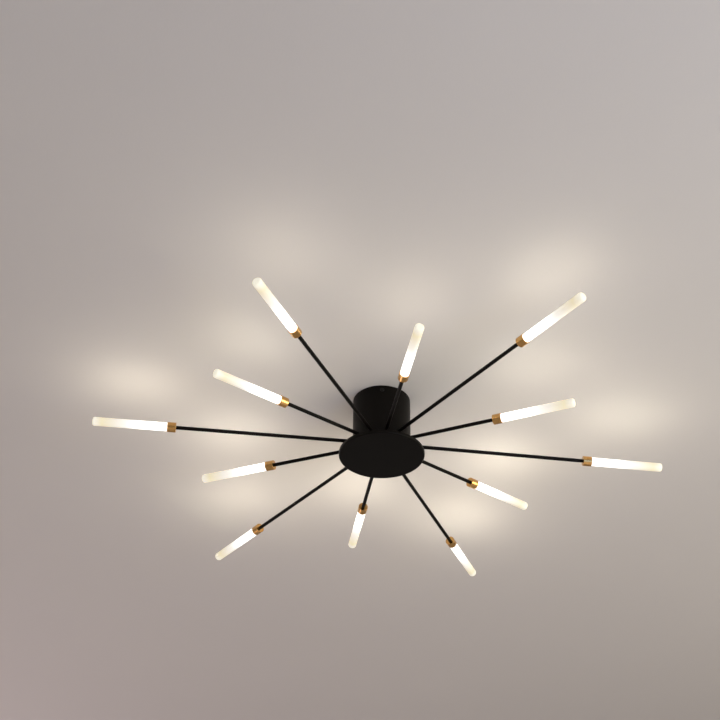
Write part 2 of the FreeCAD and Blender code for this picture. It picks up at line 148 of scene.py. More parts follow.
class Finish(Nodes):
    """A material. set() gives the sockets of its main shader a value or a link."""

    def __init__(self, name, **sockets):
        self.material = bpy.data.materials.new(name)
        self.material.use_nodes = True
        super().__init__(self.material.node_tree)
        self.shader = self.tree.nodes["Principled BSDF"]
        self.set(**sockets)

    def set(self, **sockets):
        for name, value in sockets.items():
            self.feed(self.shader.inputs[name.replace("_", " ")], value)

    def place(self):
        """Object coordinates, in metres."""
        return self.node("ShaderNodeTexCoord", output="Object")

    def along(self):
        """How far along its own axis a turned piece is, in metres, as lathe() writes it."""
        return self.node("ShaderNodeAttribute", output="Fac", attribute_name="along")

    def speckle(self, grain, detail=2.0, where=None):
        """Noise whose blobs are about one grain across, a length in metres."""
        return self.node("ShaderNodeTexNoise", {"Vector": where or self.place(), "Scale": 1.0 / grain,
                                                "Detail": detail})

    def between(self, factor, low, high):
        """A colour that goes from low to high with the factor."""
        return self.node("ShaderNodeMix", {0: factor, 6: low, 7: high}, output=2, data_type="RGBA")

    def bump(self, height, depth, strength=1.0):
        """Bumps as deep as depth, in metres, where the height runs from 0 to 1."""
        self.set(Normal=self.node("ShaderNodeBump", {"Height": height, "Distance": depth,
                                                     "Strength": strength}))

    def grain(self, size, roughness, depth, strength, detail=3.0):
        """Fine grain that raises the surface and varies its roughness from one number to another."""
        grain = self.speckle(size, detail)
        self.set(Roughness=roughness[0] + grain * (roughness[1] - roughness[0]))
        self.bump(grain, depth, strength)
        return grain

    def seen_from_front(self):
        """Leave the back of the surface clear."""
        self.feed(self.tree.nodes["Material Output"].inputs["Surface"], self.node("ShaderNodeMixShader", {
            0: self.node("ShaderNodeNewGeometry", output="Backfacing"),
            1: Value(self, self.shader.outputs[0]),
            2: self.node("ShaderNodeBsdfTransparent"),
        }))


def finished(shape, name):
    """The mesh of a shape, which is let go."""
    mesh = bpy.data.meshes.new(name)
    shape.to_mesh(mesh)
    shape.free()
    return mesh


ceiling_half = 4.0
ceiling_gap = 0.0004
opening_radius = 0.0495
opening_sides = 64

plaster = bmesh.new()
ring, rim = [], []
for side in range(opening_sides):
    turn = 2 * math.pi * side / opening_sides
    across = Vector((math.cos(turn), math.sin(turn), 0))
    reach = ceiling_half / max(abs(across.x), abs(across.y))
    ring.append(plaster.verts.new(across * opening_radius + Vector((0, 0, ceiling_gap))))
    rim.append(plaster.verts.new(across * reach + Vector((0, 0, ceiling_gap))))
for side in range(opening_sides):
    following = (side + 1) % opening_sides
    plaster.faces.new((ring[side], ring[following], rim[following], rim[side]))
ceiling = in_scene("ceiling", finished(plaster, "ceiling"))

emulsion = Finish("ceiling_emulsion", Roughness=0.85)
emulsion.set(Base_Color=emulsion.between(emulsion.speckle(0.9, detail=3.0),
                                         (0.61, 0.575, 0.56), (0.66, 0.625, 0.605)))
emulsion.bump(emulsion.speckle(0.004, detail=4.0), depth=0.0003, strength=0.35)
emulsion.seen_from_front()
ceiling.data.materials.append(emulsion.material)

floor_depth = 2.35
floor_half = 9.0

floor_mesh = bpy.data.meshes.new("floor")
floor_mesh.from_pydata([(x * floor_half, y * floor_half, -floor_depth)
                        for x, y in ((-1, -1), (1, -1), (1, 1), (-1, 1))], [], [(0, 1, 2, 3)])
floor = in_scene("floor", floor_mesh)
floor_paint = Finish("floor_paint", Base_Color=(0.70, 0.68, 0.65), Roughness=0.7)
floor_paint.seen_from_front()
floor_mesh.materials.append(floor_paint.material)

world = bpy.data.worlds.new("room_air")
bpy.context.scene.world = world
world.use_nodes = True
air = world.node_tree.nodes["Background"].inputs
air["Color"].default_value = (0.62, 0.60, 0.59, 1)
air["Strength"].default_value = 0.62

# Each lamp's name, place, aim, width, power in watts and colour.
for name, place, aim, width, power, colour in (
    ("room_fill", (0.6, -0.4, -2.2), (0.2, 0, 0), 3.0, 7.5, (1.0, 0.88, 0.96)),
    ("right_wall", (2.6, -1.2, -1.0), (0.6, -0.4, 0), 1.6, 49.0, (1.0, 0.95, 0.70)),
    ("window", (1.6, -2.2, -1.2), (0.6, -0.9, 0), 1.2, 15.0, (0.15, 0.40, 1.0)),
    ("far_left", (-2.0, 1.8, -1.4), (-0.6, 0.6, 0), 1.4, 12.5, (1.0, 0.80, 0.85)),
    ("overhead", (0.8, -0.5, 1.9), (0, 0, 0), 1.4, 26.0, (1.0, 0.98, 0.96)),
):
    lamp = in_scene(name, bpy.data.lights.new(name, "AREA"))
    lamp.data.size = width
    lamp.data.energy = power
    lamp.data.color = colour
    lamp.location = place
    lamp.rotation_euler = (Vector(aim) - Vector(place)).to_track_quat("-Z", "Y").to_euler()
    lamp.visible_camera = False

view = bpy.context.scene.view_settings
view.view_transform = "Standard"
view.look = "None"


# -------------------------------- Canopy can
# A drawn steel can, open at the ceiling and powder coated black. Its rim is ground flat. It has holes for the
# arms' threads, for the two side screws and for the disc's three studs.

can_radius = 0.051
can_wall = 0.0012
can_depth = 0.114
arm_drop = 0.0895
arm_hole_radius = 0.0028
arm_hole_margin = 0.0065
stud_hole_radius = 0.00225
side_hole_radius = 0.0022
side_screw_drop = 0.010
stud_circle = 0.038
stud_count = 3
stud_first_turn = math.radians(-30)
long_reach = 0.359
short_reach = 0.206

can_edge = 0.00025
can_corner = 0.0006
drill_share = 1.2
longest_share = 0.45
degrees_per_step = 15

down = Matrix.Rotation(math.radians(90), 4, "Y")
along_strip = Matrix.Rotation(math.radians(90), 4, "Z")


def softened(outline, edge):
    """A closed outline whose corners are rounded, with a point just before and just after each arc.

    A corner is (x, y), or (x, y, its own radius). A radius of 0 keeps the corner as it is."""
    points = []
    count = len(outline)
    for index, corner in enumerate(outline):
        size = corner[2] if len(corner) > 2 else edge
        before, corner, after = (Vector(outline[(index + step) % count][:2]) for step in (-1, 0, 1))
        if size == 0:
            points.append(corner)
            continue
        inward = (before - corner).normalized()
        onward = (after - corner).normalized()
        turn = math.pi - inward.angle(onward)
        room = longest_share * min((before - corner).length, (after - corner).length)
        reach = min(size * math.tan(turn / 2), room)
        radius = reach / math.tan(turn / 2)
        centre = corner + (inward + onward).normalized() * (radius / math.cos(turn / 2))
        start, end = corner + inward * reach - centre, corner + onward * reach - centre
        steps = max(2, round(math.degrees(turn) / degrees_per_step))
        sweep = start.angle_signed(end)
        hold = min(edge, reach * 0.5)
        points.append(corner + inward * (reach + hold))
        points += [centre + Matrix.Rotation(-sweep * step / steps, 2) @ start for step in range(steps + 1)]
        points.append(corner + onward * (reach + hold))
    return points


def lathe(outline, edge, place=Matrix(), steps=96):
    """A closed shape turned about its own X axis from (distance, radius) corners, then put in its place."""
    shape = bmesh.new()
    turns = [2 * math.pi * step / steps for step in range(steps)]
    rings = []
    for distance, radius in softened(outline, edge):
        if radius == 0:
            rings.append([shape.verts.new((distance, 0, 0))])
            continue
        rings.append([shape.verts.new((distance, radius * math.cos(turn), radius * math.sin(turn)))
                      for turn in turns])
    for here, there in zip(rings, rings[1:] + rings[:1]):
        for step in range(steps):
            following = (step + 1) % steps
            corners = list(dict.fromkeys(ring[at % len(ring)] for ring, at in (
                (here, step), (here, following), (there, following), (there, step))))
            if len(corners) > 2:
                shape.faces.new(corners)
    along = shape.verts.layers.float.new("along")
    for vertex in shape.verts:
        vertex[along] = vertex.co.x
    bmesh.ops.recalc_face_normals(shape, faces=shape.faces)
    shape.transform(place)
    return finished(shape, "turned")


def rod(start, end, radius, edge=0.0, place=Matrix(), steps=32):
    """A turned pin from start to end along X."""
    return lathe([(start, 0, 0), (start, radius), (end, radius), (end, 0, 0)], edge, place, steps)


def joined(*meshes):
    """One mesh made of several."""
    whole = bmesh.new()
    for mesh in meshes:
        whole.from_mesh(mesh)
    return finished(whole, "joined")


class Recipe(Nodes):
    """A Geometry Nodes tree with named inputs. run() gives the plain mesh that it makes."""

    def __init__(self, name, **kinds):
        super().__init__(bpy.data.node_groups.new(name, "GeometryNodeTree"))
        sockets = self.tree.interface
        sockets.new_socket("Geometry", in_out="OUTPUT", socket_type="NodeSocketGeometry")
        sockets.new_socket("Geometry", in_out="INPUT", socket_type="NodeSocketGeometry")
        for key, kind in {**kinds, "Finish": "Material"}.items():
            sockets.new_socket(key.replace("_", " "), in_out="INPUT", socket_type="NodeSocket" + kind)
        self.given = self.tree.nodes.new("NodeGroupInput")
        self.result = self.tree.nodes.new("NodeGroupOutput")

    def input(self, name):
        return Value(self, self.given.outputs[name])

    def blank(self):
        return self.node("GeometryNodeObjectInfo", {"Object": self.input("Blank")}, output="Geometry")

    def attribute(self, name):
        return self.node("GeometryNodeInputNamedAttribute", {"Name": name}, data_type="FLOAT")

    def ends_with(self, geometry):
        """Make the copies real, give them the finish and end the recipe."""
        real = self.node("GeometryNodeRealizeInstances", {"Geometry": geometry})
        self.feed(self.result.inputs[0], self.node("GeometryNodeSetMaterial", {
            "Geometry": real, "Material": self.input("Finish")}))

    def run(self, mesh=None, finish=None, **values):
        """Work on a mesh, or on nothing. A mesh given as a value goes in as an object."""
        values["Finish"] = finish.material if finish else None
        carrier = in_scene("carrier", mesh or bpy.data.meshes.new("nothing"))
        modifier = carrier.modifiers.new("recipe", "NODES")
        modifier.node_group = self.tree
        spent = [carrier]
        for item in self.tree.interface.items_tree:
            value = values.get(item.name.replace(" ", "_"))
            if isinstance(value, bpy.types.Mesh):
                value = bpy.data.objects.new("blank", value)
                spent.append(value)
            if item.in_out == "INPUT" and value is not None:
                modifier[item.identifier] = value
        made = bpy.data.meshes.new_from_object(carrier.evaluated_get(bpy.context.evaluated_depsgraph_get()))
        for thing in spent:
            bpy.data.objects.remove(thing)
        return made


# Copies of a blank, drawn along X from the hub or from a cup's back, on the arms of the fan. Past one
# distance their points follow the reach of each arm, so that one blank makes the long and the short ones.
fan = Recipe("fan_of_arms", Blank="Object", From_Cup="Float", Distance="Float",
             Drawn_Reach="Float", Follows_Past="Float")
arm_turn = fan.node("FunctionNodeEulerToRotation", {
    "Euler": fan.vector(0.0, 0.0 - fan.attribute("tilt"), fan.attribute("azimuth"))})
fan_copies = fan.node("GeometryNodeInstanceOnPoints", {
    "Points": fan.input("Geometry"), "Instance": fan.blank(), "Rotation": arm_turn})
fan_placed = fan.node("GeometryNodeTranslateInstances", {
    "Instances": fan_copies, "Local Space": True,
    "Translation": fan.vector(fan.attribute("reach") * fan.input("From Cup") + fan.input("Distance"))})
follows = fan.attribute("along") > fan.input("Follows Past")
stretch = (fan.attribute("reach") - fan.input("Drawn Reach")) * follows
outward = fan.node("FunctionNodeRotateVector", {"Vector": (1, 0, 0), "Rotation": arm_turn})
fan.ends_with(fan.node("GeometryNodeSetPosition", {
    "Geometry": fan.node("GeometryNodeRealizeInstances", {"Geometry": fan_placed}),
    "Offset": fan.node("ShaderNodeVectorMath", {"Vector": outward, "Scale": stretch}, operation="SCALE"),
}))

# The arms' directions are those of the frame's joints, because each light tube pulls off along its arm.
arms = {}
for joint in frame["joints"]:
    if joint["child"].startswith("light_tube_"):
        axis = Vector(joint["axis"]).normalized()
        number = joint["child"][-2:]
        arms[number] = {"axis": axis, "azimuth": math.atan2(axis.y, axis.x), "tilt": math.asin(axis.z),
                        "reach": long_reach if int(number) % 2 else short_reach}
out_of_reach = 9.0


def on_arms(blank, finish=None, numbers=None, from_cup=True, distance=0.0, follows_past=out_of_reach):
    """Copies of a blank on the numbered arms, or on all of them."""
    seats = bpy.data.meshes.new("seats")
    chosen = [arms[number] for number in numbers or sorted(arms)]
    seats.from_pydata([(0, 0, -arm_drop)] * len(chosen), [], [])
    for name in ("azimuth", "tilt", "reach"):
        seats.attributes.new(name, "FLOAT", "POINT").data.foreach_set("value", [arm[name] for arm in chosen])
    made = fan.run(seats, finish, Blank=blank, From_Cup=float(from_cup), Distance=distance,
                   Drawn_Reach=long_reach, Follows_Past=follows_past)
    for name in ("azimuth", "tilt", "reach"):
        made.attributes.remove(made.attributes[name])
    return made


# Copies of a blank in rows and columns round the X axis, their own Z pointing away from it.
rows_round = Recipe("rows_round_a_core", Blank="Object", Rows="Int", Columns="Int", Core_Radius="Float",
                    Start="Float", Row_Pitch="Float", First_Turn="Float", Row_Turn="Float")
place_number = rows_round.node("GeometryNodeInputIndex")
row = rows_round.maths("FLOOR", place_number / rows_round.input("Columns"))
column_turn = (place_number % rows_round.input("Columns")) * (2 * math.pi) / rows_round.input("Columns")
turn_in_row = rows_round.input("First Turn") + row * rows_round.input("Row Turn") + column_turn
row_copies = rows_round.node("GeometryNodeInstanceOnPoints", {
    "Points": rows_round.node("GeometryNodeMeshLine", {
        "Count": rows_round.input("Rows") * rows_round.input("Columns"), "Offset": (0, 0, 0)}),
    "Instance": rows_round.blank(),
    "Rotation": rows_round.node("FunctionNodeEulerToRotation", {"Euler": rows_round.vector(turn_in_row)}),
})
row_start = rows_round.input("Start") + row * rows_round.input("Row Pitch")
rows_round.ends_with(rows_round.node("GeometryNodeTranslateInstances", {
    "Instances": row_copies, "Local Space": True,
    "Translation": rows_round.vector(row_start, 0.0, rows_round.input("Core Radius")),
}))

# A mesh with the drills cut out of it.
drilled = Recipe("drilled", Blank="Object")
drilled.ends_with(drilled.node("GeometryNodeMeshBoolean", {
    "Mesh 1": drilled.input("Geometry"), "Mesh 2": drilled.blank(),
}, operation="DIFFERENCE", solver="EXACT"))


def on_studs(blank, start, finish=None):
    """Copies of a blank at the disc's studs, its X axis pointing down from a depth below the ceiling."""
    made = rows_round.run(None, finish, Blank=blank, Rows=1, Columns=stud_count, Core_Radius=stud_circle,
                          Start=start, Row_Pitch=0.0, First_Turn=stud_first_turn, Row_Turn=0.0)
    made.transform(down)
    return made


def piece(name, mesh, finish, body, slot, *nodes, sharp=35):
    """Make a piece's object, smooth but for its sharp edges, give it its finish, hang it on its body and hide
    the frame's nodes that it stands for.
    """
    mesh.shade_smooth()
    mesh.set_sharp_from_angle(angle=math.radians(sharp))
    mesh.materials.clear()
    mesh.materials.append(finish.material)
    mesh.name = name
    made = in_scene(name, mesh)
    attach(made, body)
    if nodes:
        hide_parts(*nodes)


powder_coat = Finish("black_powder_coat", Metallic=0.0, Specular_IOR_Level=0.095)
orange_peel = powder_coat.speckle(0.0011, detail=3.0)
cloudy = powder_coat.speckle(0.03, detail=4.0)
facing = powder_coat.node("ShaderNodeSeparateXYZ", {0: powder_coat.node("ShaderNodeNewGeometry",
                                                                        output="Normal")}, output="Z")
dust = powder_coat.node("ShaderNodeMapRange", {"Value": facing + cloudy * 0.6, "From Min": 0.75,
                                               "From Max": 1.5, "To Min": 0.0, "To Max": 0.30})
powder_coat.set(
    Base_Color=powder_coat.between(dust, (0.0029, 0.0020, 0.0013), (0.14, 0.13, 0.118)),
    Roughness=0.36 + orange_peel * 0.10 + cloudy * 0.10 + dust * 0.3,
)
powder_coat.bump(orange_peel, depth=0.00006, strength=0.5)

can_blank = lathe([
    (0, can_radius - can_wall),
    (0, can_radius),
    (arm_drop - arm_hole_margin, can_radius, 0),
    (arm_drop + arm_hole_margin, can_radius, 0),
    (can_depth, can_radius, can_corner),
    (can_depth, 0, 0),
    (can_depth - can_wall, 0, 0),
    (can_depth - can_wall, can_radius - can_wall, can_corner),
    (arm_drop + arm_hole_margin, can_radius - can_wall, 0),
    (arm_drop - arm_hole_margin, can_radius - can_wall, 0),
], can_edge, down, steps=160)
side_drill = rod(-drill_share * can_radius, drill_share * can_radius, side_hole_radius,
                 place=Matrix.Translation((0, 0, -side_screw_drop)) @ along_strip)
stud_drills = on_studs(rod(-2 * can_wall, 2 * can_wall, stud_hole_radius), can_depth)
arm_drills = on_arms(rod(can_radius - 4 * can_wall, can_radius + 2 * can_wall, arm_hole_radius),
                     from_cup=False)
can = drilled.run(can_blank, powder_coat, Blank=joined(side_drill, stud_drills, arm_drills))
piece("canopy_shell_coated", can, powder_coat, "fixture", "black_paint", "canopy_shell")


# -------------------------------- Disc
# The cover disc under the can: a shallow pan pressed from sheet, its rim bent up, coated like the can.
# Three studs are welded on its back and pass through the can's floor.

disc_radius = 0.075
disc_sheet = 0.0015
disc_lip = 0.006
disc_bend = 0.0022
light_depth = 0.1155
disc_edge = 0.0003
stud_radius = 0.002
stud_height = 0.0054
stud_edge = 0.0003

disc_pan = lathe([
    (light_depth - disc_lip, disc_radius - disc_sheet),
    (light_depth - disc_lip, disc_radius),
    (light_depth, disc_radius, disc_bend),
    (light_depth, 0, 0),
    (light_depth - disc_sheet, 0, 0),
    (light_depth - disc_sheet, disc_radius - disc_sheet, disc_bend - disc_sheet),
], disc_edge, down, steps=192)
stud = rod(-stud_height, 0, stud_radius, stud_edge, steps=24)
studs = on_studs(stud, light_depth - disc_sheet, powder_coat)
piece("disc_cover_coated", joined(disc_pan, studs), powder_coat, "fixture", "black_paint", "disc_cover")


# -------------------------------- Ceiling strip
# A zinc plated steel strip across the can. It is screwed to the ceiling through its two slots, and its folded
# ears take the can's side screws.

strip_width = 0.016
strip_sheet = 0.002
strip_half = 0.04885
strip_bend = 0.0026
strip_edge = 0.0003
strip_side_edge = 0.0002
ear_depth = 0.016
slot_spacing = 0.060
slot_width = 0.0046
slot_length = 0.014
tapped_side_radius = 0.00205


def prism(outline, half_width, edge=0.0):
    """An outline in X and Z made solid along Y. The edges of its two flat faces are softened."""
    shape = bmesh.new()
    near = [shape.verts.new((x, -half_width, z)) for x, z in outline]
    far = [shape.verts.new((x, half_width, z)) for x, z in outline]
    faces = [shape.faces.new(near), shape.faces.new(far)]
    for index in range(len(outline)):
        following = (index + 1) % len(outline)
        shape.faces.new((near[index], near[following], far[following], far[index]))
    bmesh.ops.recalc_face_normals(shape, faces=shape.faces)
    if edge:
        bmesh.ops.bevel(shape, geom=[line for face in faces for line in face.edges], offset=edge, segments=2,
                        profile=0.5, affect="EDGES")
    return finished(shape, "prism")


zinc = Finish("zinc_plate", Metallic=1.0)
plating = zinc.speckle(0.006, detail=4.0)
grinding = zinc.speckle(0.0007, where=zinc.node("ShaderNodeMapping", {
    "Vector": zinc.place(), "Scale": (1.0, 0.06, 1.0)}))
zinc.set(
    Base_Color=zinc.between(plating, (0.50, 0.51, 0.50), (0.68, 0.67, 0.62)),
    Roughness=0.26 + plating * 0.14 + grinding * 0.10,
)
zinc.bump(grinding, depth=0.00003, strength=0.4)

strip_blank = prism(softened([
    (-strip_half, 0, strip_bend),
    (strip_half, 0, strip_bend),
    (strip_half, -ear_depth),
    (strip_half - strip_sheet, -ear_depth),
    (strip_half - strip_sheet, -strip_sheet, strip_bend - strip_sheet),
    (strip_sheet - strip_half, -strip_sheet, strip_bend - strip_sheet),
    (strip_sheet - strip_half, -ear_depth),
    (-strip_half, -ear_depth),
], strip_edge), strip_width / 2, strip_side_edge)
strip_drills = [rod(-drill_share * strip_half, drill_share * strip_half, tapped_side_radius,
                    place=Matrix.Translation((0, 0, -side_screw_drop)))]
slot_radius = slot_width / 2
for side in (-1, 1):
    slot_outline = []
    for end, first in ((1, -90), (-1, 90)):
        centre = side * slot_spacing / 2 + end * (slot_length / 2 - slot_radius)
        for step in range(first, first + 181, degrees_per_step):
            turn = math.radians(step)
            slot_outline.append((centre + slot_radius * math.cos(turn), slot_radius * math.sin(turn)))
    slot_drill = prism(slot_outline, 2 * strip_sheet)
    slot_drill.transform(Matrix.Rotation(math.radians(90), 4, "X"))
    strip_drills.append(slot_drill)
strip = drilled.run(strip_blank, zinc, Blank=joined(*strip_drills))
strip.transform(along_strip)
piece("mounting_bracket_plated", strip, zinc, "fixture", "zinc_steel", "mounting_bracket")


# -------------------------------- Side screws
# Two low-headed screws, blackened, that hold the can to the strip's ears. Their heads are domed and have a
# cross recess.

side_screw_radius = 0.002
side_screw_head_radius = 0.0035
side_screw_head_height = 0.0018
side_screw_length = 0.007
side_screw_pitch = 0.0007
side_screw_dome = 0.0013
side_screw_brim = 0.0002
side_screw_edge = 0.0001
thread_depth = 0.0003
side_recess = {"Deep": 0.0011, "Wide": 0.0007, "Long": 0.0034}


def thread(start, end, radius, depth, pitch):
    """The roots and crests of a thread, as corners of an outline from start to end."""
    turns = int((end - start) / pitch)
    step = (end - start) / turns
    return [corner for turn in range(turns) for corner in (
        (start + turn * step, radius - depth, 0),
        (start + (turn + 0.5) * step, radius, 0),
    )]


# A turned screw with a cross cut into the end of its head.
cross_head = Recipe("cross_head", Top="Float", Deep="Float", Wide="Float", Long="Float")
cutters = []
for width, length in (("Wide", "Long"), ("Long", "Wide")):
    bar = cross_head.node("GeometryNodeMeshCube", {"Size": cross_head.vector(
        2.0 * cross_head.input("Deep"), cross_head.input(width), cross_head.input(length))})
    cutters.append(cross_head.node("GeometryNodeTransform", {
        "Geometry": bar, "Translation": cross_head.vector(cross_head.input("Top"))}))
cross_head.ends_with(cross_head.node("GeometryNodeMeshBoolean", {
    "Mesh 1": cross_head.input("Geometry"), "Mesh 2": cutters}, operation="DIFFERENCE", solver="EXACT"))

black_steel = Finish("blackened_steel", Metallic=0.2, Specular_IOR_Level=0.2)
scuffed = black_steel.grain(0.0008, roughness=(0.30, 0.50), depth=0.00002, strength=0.3)
black_steel.set(Base_Color=black_steel.between(scuffed, (0.006, 0.0055, 0.005), (0.02, 0.019, 0.018)))

side_screw_top = side_screw_length + side_screw_head_height
side_screw = cross_head.run(lathe([
    (0, 0, 0),
    *thread(thread_depth, side_screw_length, side_screw_radius, thread_depth, side_screw_pitch),
    (side_screw_length, side_screw_radius, 0),
    (side_screw_length, side_screw_head_radius, side_screw_brim),
    (side_screw_top, side_screw_head_radius, side_screw_dome),
    (side_screw_top, 0, 0),
], side_screw_edge, steps=48), black_steel, Top=side_screw_top, **side_recess)
side_screws = []
for side in (0, 180):
    placed_screw = side_screw.copy()
    placed_screw.transform(along_strip @ Matrix.Rotation(math.radians(side), 4, "Z")
                           @ Matrix.Translation((can_radius - side_screw_length, 0, -side_screw_drop)))
    side_screws.append(placed_screw)
piece("side_screws_black", joined(*side_screws), black_steel, "fixture", "black_screw", "side_screws")


# -------------------------------- Arm tubes
# Twelve thin steel tubes, long and short in turn, coated black. Each has a thread at both ends: one holds it
# in the can's side and one carries its cup.

arm_radius = 0.0032
thread_radius = 0.0025
thread_pitch = 0.0008
arm_edge = 0.0003
arm_bore_radius = 0.0017
arm_inner_end = 0.0448
arm_shoulder = 0.0513
arm_middle = 0.1
cup_floor = 0.004

arm_blank = lathe([
    (arm_inner_end, arm_bore_radius, 0),
    *thread(arm_inner_end, arm_shoulder, thread_radius, thread_depth, thread_pitch),
    (arm_shoulder, thread_radius - thread_depth, 0),
    (arm_shoulder, arm_radius),
    (long_reach, arm_radius),
    (long_reach, thread_radius, 0),
    (long_reach + cup_floor, thread_radius, 0),
    (long_reach + cup_floor, arm_bore_radius, 0),
], arm_edge, steps=48)
arm_tubes = on_arms(arm_blank, powder_coat, from_cup=False, follows_past=arm_middle)
piece("arm_tubes_coated", arm_tubes, powder_coat, "fixture", "black_paint",
      *["arm_tube_" + number for number in sorted(arms)])


# -------------------------------- Nuts
# Zinc plated hexagon nuts inside the can: twelve lock the arms' threads, and three hold the disc's studs.
# Each is turned with a chamfer on both faces and milled to six flats.

arm_nut_width = 0.008
arm_nut_thickness = 0.0032
arm_nut_face = 0.0463
arm_nut_bore = 0.00255
cover_nut_width = 0.007
cover_nut_thickness = 0.0032
cover_nut_bore = 0.00205
nut_chamfer_slope = math.tan(math.radians(30))
nut_seat_share = 0.47
nut_lead_in = 0.0003
hair = 0.00005

# Points outside the ring that a nut seats on move in to six flats, and along X to a cone.
hexagon = Recipe("milled_hexagon", Across_Flats="Float", Thickness="Float", Seat_Radius="Float")
point_place = hexagon.node("GeometryNodeInputPosition")
from_face, right, up = [hexagon.node("ShaderNodeSeparateXYZ", {0: point_place}, output=axis)
                        for axis in "XYZ"]
radius = hexagon.node("ShaderNodeVectorMath", {0: hexagon.vector(0.0, right, up)}, output="Value",
                      operation="LENGTH")
from_flat = (hexagon.maths("ARCTAN2", up, right) + math.pi / 6) % (math.pi / 3) - math.pi / 6
flat_radius = hexagon.input("Across Flats") / (2.0 * hexagon.maths("COSINE", from_flat))
kept = hexagon.maths("MINIMUM", radius, flat_radius)
middle = hexagon.input("Thickness") / 2.0
cone = middle + hexagon.maths("SIGN", from_face - middle) * (
    middle - (kept - hexagon.input("Seat Radius")) * nut_chamfer_slope)
hexagon.ends_with(hexagon.node("GeometryNodeSetPosition", {
    "Geometry": hexagon.input("Geometry"), "Selection": radius > hexagon.input("Seat Radius") + hair,
    "Position": hexagon.vector(cone, right * kept / radius, up * kept / radius)}))


def nut(width, thickness, bore):
    """A nut with its axis along X and one face at 0."""
    corner = width / math.sqrt(3)
    seat = nut_seat_share * width
    chamfer = (corner - seat) * nut_chamfer_slope
    blank = lathe([
        (0, bore + nut_lead_in), (0, seat), (chamfer, corner),
        (thickness - chamfer, corner), (thickness, seat), (thickness, bore + nut_lead_in),
        (thickness - nut_lead_in, bore), (nut_lead_in, bore),
    ], 0.0, steps=72)
    return hexagon.run(blank, Across_Flats=width, Thickness=thickness, Seat_Radius=seat)


arm_nuts = on_arms(nut(arm_nut_width, arm_nut_thickness, arm_nut_bore), zinc, from_cup=False,
                   distance=arm_nut_face)
piece("arm_lock_nuts_milled", arm_nuts, zinc, "fixture", "zinc_steel", "arm_lock_nuts", sharp=20)

cover_nut = nut(cover_nut_width, cover_nut_thickness, cover_nut_bore)
cover_nut.transform(Matrix.Rotation(math.radians(30), 4, "X"))
cover_nuts = on_studs(cover_nut, can_depth - can_wall - cover_nut_thickness, zinc)
piece("cover_nuts_milled", cover_nuts, zinc, "fixture", "zinc_steel", "cover_nuts", sharp=20)


# -------------------------------- Brass cups
# Short cups turned from brass bar, polished and lacquered to a warm gold. Each is screwed on an arm's end,
# holds a socket on its floor and grips a light tube in its bore.

cup_length = 0.015
cup_radius = 0.00875
cup_bore_radius = 0.0076
cup_chamfer = 0.0005
cup_edge = 0.0002

brass = Finish("brass_polish", Metallic=1.0)
turning_marks = brass.speckle(0.00012, detail=1.0, where=brass.vector(brass.along()))
tarnish = brass.speckle(0.006, detail=3.0)
brass.set(
    Base_Color=brass.between(tarnish, (0.62, 0.33, 0.10), (0.76, 0.46, 0.17)),
    Roughness=0.13 + turning_marks * 0.08 + tarnish * 0.07,
)
brass.bump(turning_marks, depth=0.00001, strength=0.4)

cup_blank = lathe([
    (0, thread_radius, 0),
    (0, cup_radius, cup_chamfer),
    (cup_length, cup_radius),
    (cup_length, cup_bore_radius),
    (cup_floor, cup_bore_radius),
    (cup_floor, thread_radius, 0),
], cup_edge, steps=72)
piece("lamp_cups_polished", on_arms(cup_blank, brass), brass, "fixture", "polished_brass",
      *["lamp_cup_" + number for number in sorted(arms)])


# -------------------------------- Lamp sockets
# White ceramic sockets, pressed and fired, on the floors of the cups. Each has two holes for a bulb's pins
# and a shallow step round its face.

socket_radius = 0.0056
socket_length = 0.008
socket_step = 0.0012
socket_step_in = 0.0007
socket_edge = 0.0002
pin_spacing = 0.004
pin_radius = 0.00035
pin_hole_radius = 0.00045
pin_hole_depth = 0.007

ceramic = Finish("fired_ceramic")
grit = ceramic.grain(0.0005, roughness=(0.55, 0.75), depth=0.00004, strength=0.5, detail=4.0)
ceramic.set(Base_Color=ceramic.between(grit, (0.80, 0.78, 0.72), (0.89, 0.88, 0.84)))

socket_blank = lathe([
    (0, 0, 0),
    (0, socket_radius),
    (socket_length - socket_step, socket_radius),
    (socket_length - socket_step, socket_radius - socket_step_in),
    (socket_length, socket_radius - socket_step_in),
    (socket_length, 0, 0),
], socket_edge, steps=48)
pin_places = [Matrix.Translation((0, side * pin_spacing / 2, 0)) for side in (-1, 1)]
socket = drilled.run(socket_blank, Blank=joined(*[
    rod(socket_length - pin_hole_depth, drill_share * socket_length, pin_hole_radius, place=place, steps=16)
    for place in pin_places]))
piece("lamp_sockets_fired", on_arms(socket, ceramic, distance=cup_floor), ceramic,
      "fixture", "socket_ceramic", "lamp_sockets")


# -------------------------------- Light tubes
# Frosted acrylic tubes, closed by a rounded tip and pushed into the cups. The bulb lights the first half
# white hot. Beyond it the wall glows cream, and the closed tip catches light again.

tube_radius = 0.0075
tube_wall = 0.0015
tube_start = 0.0041
tube_end = 0.1425
tube_tip_round = 0.0066
tube_edge = 0.0003
tube_glow = 1.6

